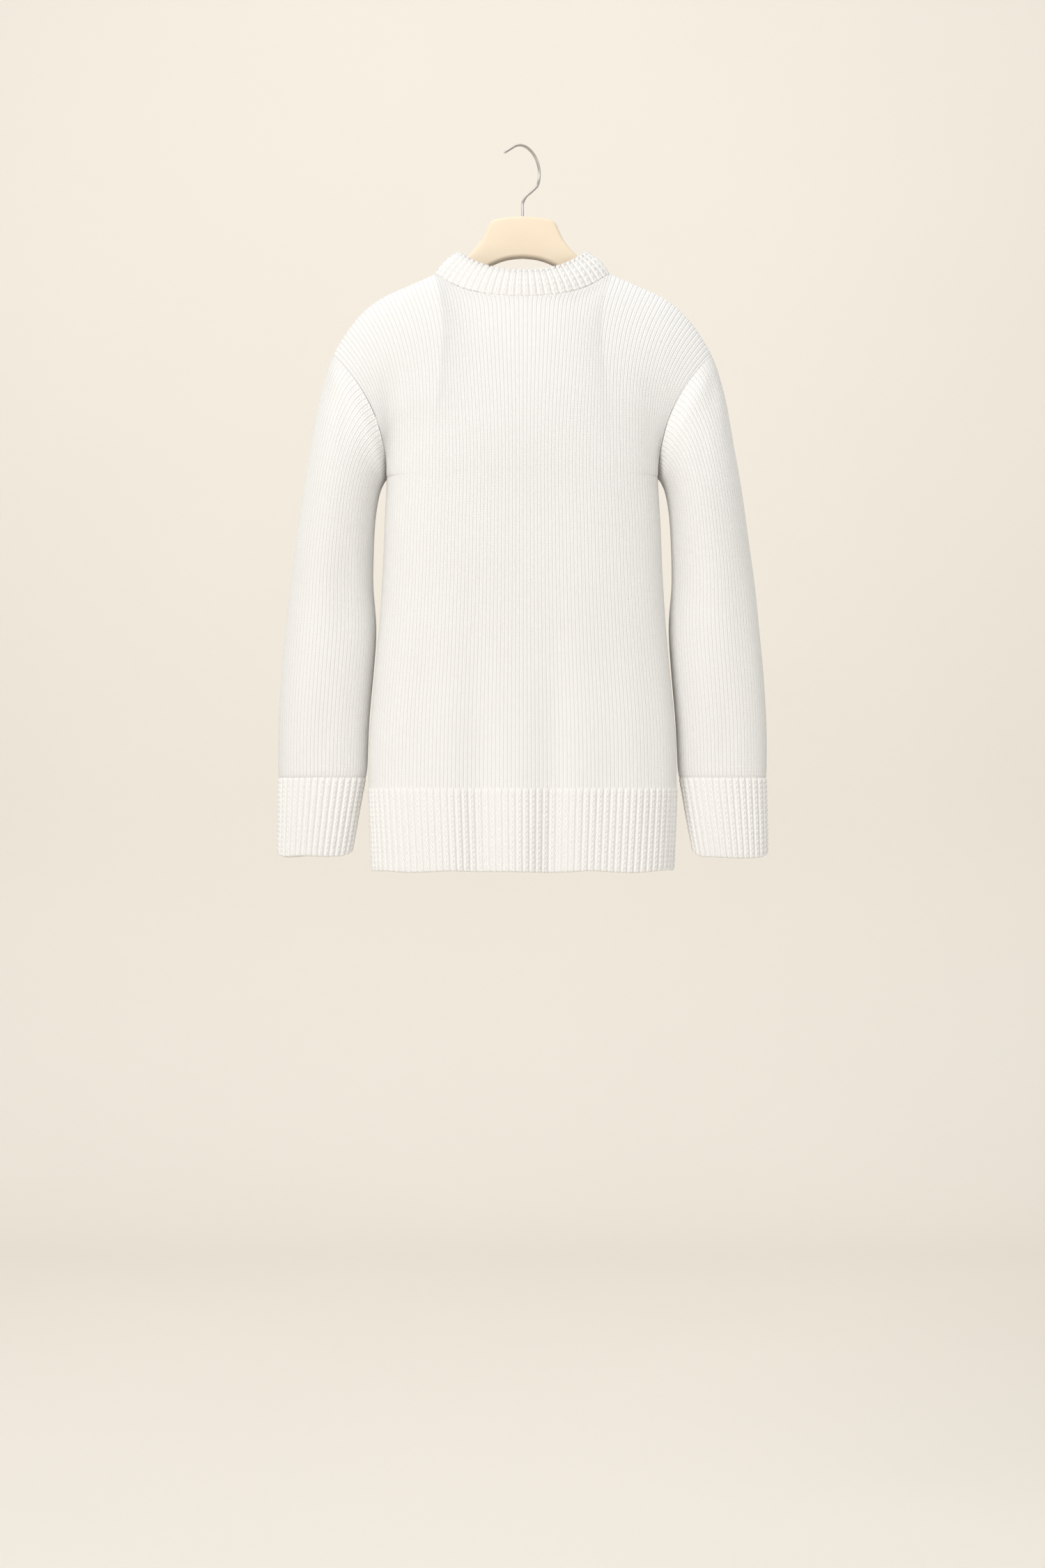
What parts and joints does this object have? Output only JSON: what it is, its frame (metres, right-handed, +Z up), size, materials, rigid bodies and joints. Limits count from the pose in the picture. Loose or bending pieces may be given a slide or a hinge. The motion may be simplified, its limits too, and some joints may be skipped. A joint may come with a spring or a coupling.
{
  "type": "wool sweater on hanger",
  "caption": "Long-sleeved ivory wool sweater with ribbed neckband, cuffs and hem, hung on a moulded hanger with a round wire hook.",
  "frame": {"origin": "inside of the hook's crown, where the rail bears", "axes": "+Z up along the shank; +X to the sweater's right sleeve; +Y out of the sweater's front, so its back faces -Y"},
  "size_m": [0.5986, 0.1579, 0.8862],
  "materials": {
    "knit": "matte ivory wool in stocking stitch",
    "rib": "matte ivory wool in single rib",
    "hanger": "matte cream moulding with a faint grain",
    "hook": "drawn wire, satin"
  },
  "bodies": {
    "root": {"back": "knit", "front": "knit", "sleeve_left": "knit", "sleeve_right": "knit", "hem_rib_back": "rib", "hem_rib_front": "rib", "cuff_rib_left": "rib", "cuff_rib_right": "rib", "neck_rib": "rib", "hanger_body": "hanger", "hanger_hook": "hook"}
  },
  "joints": []
}
